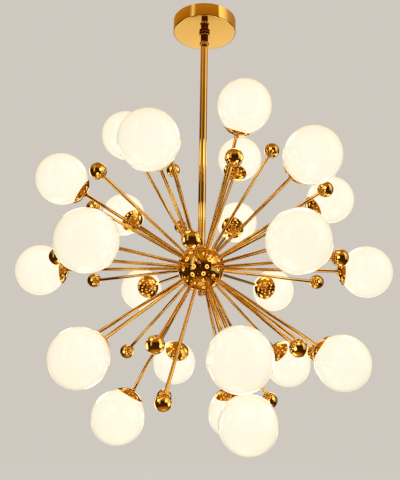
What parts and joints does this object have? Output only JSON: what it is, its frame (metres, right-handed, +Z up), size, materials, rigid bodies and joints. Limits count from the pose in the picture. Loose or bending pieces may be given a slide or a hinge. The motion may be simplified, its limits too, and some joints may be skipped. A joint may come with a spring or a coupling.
{
  "type": "sputnik chandelier",
  "caption": "Chandelier with a ball of thin brass arms, opal glass globes and small brass balls at their ends, on a rod that swivels under a round ceiling canopy.",
  "frame": {"origin": "on the ceiling, above the middle of the canopy, midway between the bracket's two slots", "axes": "+Z up, out of the ceiling bracket's upper face; +X along the bracket; the picture looks along +Y"},
  "size_m": [0.733, 0.6648, 0.8649],
  "materials": {
    "polished_brass": "mirror polished, warm gold",
    "opal_glass": "opal white, glossy outside",
    "plated_steel": "zinc plated",
    "spring_steel": "bright spring steel",
    "ceramic": "white glazed ceramic",
    "moulding": "moulded, matt",
    "cable_sheath": "matt sheath",
    "lamp_glass": "clear capsule"
  },
  "bodies": {
    "ceiling": {"ceiling_bracket": "plated_steel", "hanger_nipple": "plated_steel", "nipple_locknuts": "plated_steel", "lock_washer": "plated_steel", "earth_screw": "polished_brass", "earth_washer": "plated_steel", "terminal_block": "moulding", "terminal_screws": "plated_steel", "supply_cable": "cable_sheath", "swivel_plug": "plated_steel", "swivel_sleeve": "polished_brass"},
    "canopy": {"canopy": "polished_brass"},
    "collar": {"collar_ring": "polished_brass"},
    "swivel": {"swivel_ball": "polished_brass"},
    "pendant": {"downrod": "polished_brass", "rod_cable": "cable_sheath", "hub_stem": "plated_steel", "stem_nut": "plated_steel", "hub_upper_shell": "polished_brass", "hub_lower_shell": "polished_brass", "wire_junction": "moulding", "finial_coupler": "plated_steel", "finial": "polished_brass", "arm_nuts": "plated_steel", "light_arms": "polished_brass", "accent_arms": "polished_brass", "accent_balls": "polished_brass", "arm_leads": "cable_sheath", "cap_collars": "polished_brass", "fitter_caps": "polished_brass", "cap_nuts": "plated_steel", "gripper_cups": "spring_steel", "lampholders": "ceramic", "lamp_bases": "ceramic", "lamp_capsules": "lamp_glass"},
    "globe_01": {"globe_01": "opal_glass"},
    "globe_02": {"globe_02": "opal_glass"},
    "globe_03": {"globe_03": "opal_glass"},
    "globe_04": {"globe_04": "opal_glass"},
    "globe_05": {"globe_05": "opal_glass"},
    "globe_06": {"globe_06": "opal_glass"},
    "globe_07": {"globe_07": "opal_glass"},
    "globe_08": {"globe_08": "opal_glass"},
    "globe_09": {"globe_09": "opal_glass"},
    "globe_10": {"globe_10": "opal_glass"},
    "globe_11": {"globe_11": "opal_glass"},
    "globe_12": {"globe_12": "opal_glass"},
    "globe_13": {"globe_13": "opal_glass"},
    "globe_14": {"globe_14": "opal_glass"},
    "globe_15": {"globe_15": "opal_glass"},
    "globe_16": {"globe_16": "opal_glass"},
    "globe_17": {"globe_17": "opal_glass"},
    "globe_18": {"globe_18": "opal_glass"},
    "globe_19": {"globe_19": "opal_glass"},
    "globe_20": {"globe_20": "opal_glass"},
    "globe_21": {"globe_21": "opal_glass"},
    "globe_22": {"globe_22": "opal_glass"},
    "globe_23": {"globe_23": "opal_glass"},
    "globe_24": {"globe_24": "opal_glass"}
  },
  "joints": [
    {"name": "swivel_tilt", "type": "hinge", "parent": "ceiling", "child": "swivel", "pos_m": [0, 0, -0.05], "axis": [1, 0, 0], "range_deg": [-12, 12]},
    {"name": "pendant_spin", "type": "hinge", "parent": "swivel", "child": "pendant", "pos_m": [0, 0, -0.05], "axis": [0, 0, 1], "range_deg": [-175, 175]},
    {"name": "canopy_drop", "type": "slide", "parent": "ceiling", "child": "canopy", "axis": [0, 0, 1], "range_m": [-0.014, 0]},
    {"name": "collar_turn", "type": "hinge", "parent": "canopy", "child": "collar", "pos_m": [0, 0, -0.028], "axis": [0, 0, 1], "continuous": true},
    {"name": "globe_01_pull", "type": "slide", "parent": "pendant", "child": "globe_01", "axis": [0.265, 0.424, 0.866], "range_m": [0, 0.06]},
    {"name": "globe_02_pull", "type": "slide", "parent": "pendant", "child": "globe_02", "axis": [-0.4997, 0.0174, 0.866], "range_m": [0, 0.06]},
    {"name": "globe_03_pull", "type": "slide", "parent": "pendant", "child": "globe_03", "axis": [0.2347, -0.4415, 0.866], "range_m": [0, 0.06]},
    {"name": "globe_04_pull", "type": "slide", "parent": "pendant", "child": "globe_04", "axis": [0.8471, 0.1801, 0.5], "range_m": [0, 0.06]},
    {"name": "globe_05_pull", "type": "slide", "parent": "pendant", "child": "globe_05", "axis": [0.2676, 0.8236, 0.5], "range_m": [0, 0.06]},
    {"name": "globe_06_pull", "type": "slide", "parent": "pendant", "child": "globe_06", "axis": [-0.5795, 0.6436, 0.5], "range_m": [0, 0.06]},
    {"name": "globe_07_pull", "type": "slide", "parent": "pendant", "child": "globe_07", "axis": [-0.8471, -0.1801, 0.5], "range_m": [0, 0.06]},
    {"name": "globe_08_pull", "type": "slide", "parent": "pendant", "child": "globe_08", "axis": [-0.2676, -0.8236, 0.5], "range_m": [0, 0.06]},
    {"name": "globe_09_pull", "type": "slide", "parent": "pendant", "child": "globe_09", "axis": [0.5795, -0.6436, 0.5], "range_m": [0, 0.06]},
    {"name": "globe_10_pull", "type": "slide", "parent": "pendant", "child": "globe_10", "axis": [0.9985, -0.0523, -0.0175], "range_m": [0, 0.06]},
    {"name": "globe_11_pull", "type": "slide", "parent": "pendant", "child": "globe_11", "axis": [0.5446, 0.8385, -0.0175], "range_m": [0, 0.06]},
    {"name": "globe_12_pull", "type": "slide", "parent": "pendant", "child": "globe_12", "axis": [-0.4539, 0.8909, -0.0175], "range_m": [0, 0.06]},
    {"name": "globe_13_pull", "type": "slide", "parent": "pendant", "child": "globe_13", "axis": [-0.9985, 0.0523, -0.0175], "range_m": [0, 0.06]},
    {"name": "globe_14_pull", "type": "slide", "parent": "pendant", "child": "globe_14", "axis": [-0.5446, -0.8385, -0.0175], "range_m": [0, 0.06]},
    {"name": "globe_15_pull", "type": "slide", "parent": "pendant", "child": "globe_15", "axis": [0.4539, -0.8909, -0.0175], "range_m": [0, 0.06]},
    {"name": "globe_16_pull", "type": "slide", "parent": "pendant", "child": "globe_16", "axis": [0.6063, 0.5654, -0.5592], "range_m": [0, 0.06]},
    {"name": "globe_17_pull", "type": "slide", "parent": "pendant", "child": "globe_17", "axis": [-0.1865, 0.8078, -0.5592], "range_m": [0, 0.06]},
    {"name": "globe_18_pull", "type": "slide", "parent": "pendant", "child": "globe_18", "axis": [-0.7928, 0.2424, -0.5592], "range_m": [0, 0.06]},
    {"name": "globe_19_pull", "type": "slide", "parent": "pendant", "child": "globe_19", "axis": [-0.6063, -0.5654, -0.5592], "range_m": [0, 0.06]},
    {"name": "globe_20_pull", "type": "slide", "parent": "pendant", "child": "globe_20", "axis": [0.1865, -0.8078, -0.5592], "range_m": [0, 0.06]},
    {"name": "globe_21_pull", "type": "slide", "parent": "pendant", "child": "globe_21", "axis": [0.7928, -0.2424, -0.5592], "range_m": [0, 0.06]},
    {"name": "globe_22_pull", "type": "slide", "parent": "pendant", "child": "globe_22", "axis": [0.2131, 0.4183, -0.8829], "range_m": [0, 0.06]},
    {"name": "globe_23_pull", "type": "slide", "parent": "pendant", "child": "globe_23", "axis": [-0.4688, -0.0246, -0.8829], "range_m": [0, 0.06]},
    {"name": "globe_24_pull", "type": "slide", "parent": "pendant", "child": "globe_24", "axis": [0.2557, -0.3937, -0.8829], "range_m": [0, 0.06]}
  ]
}
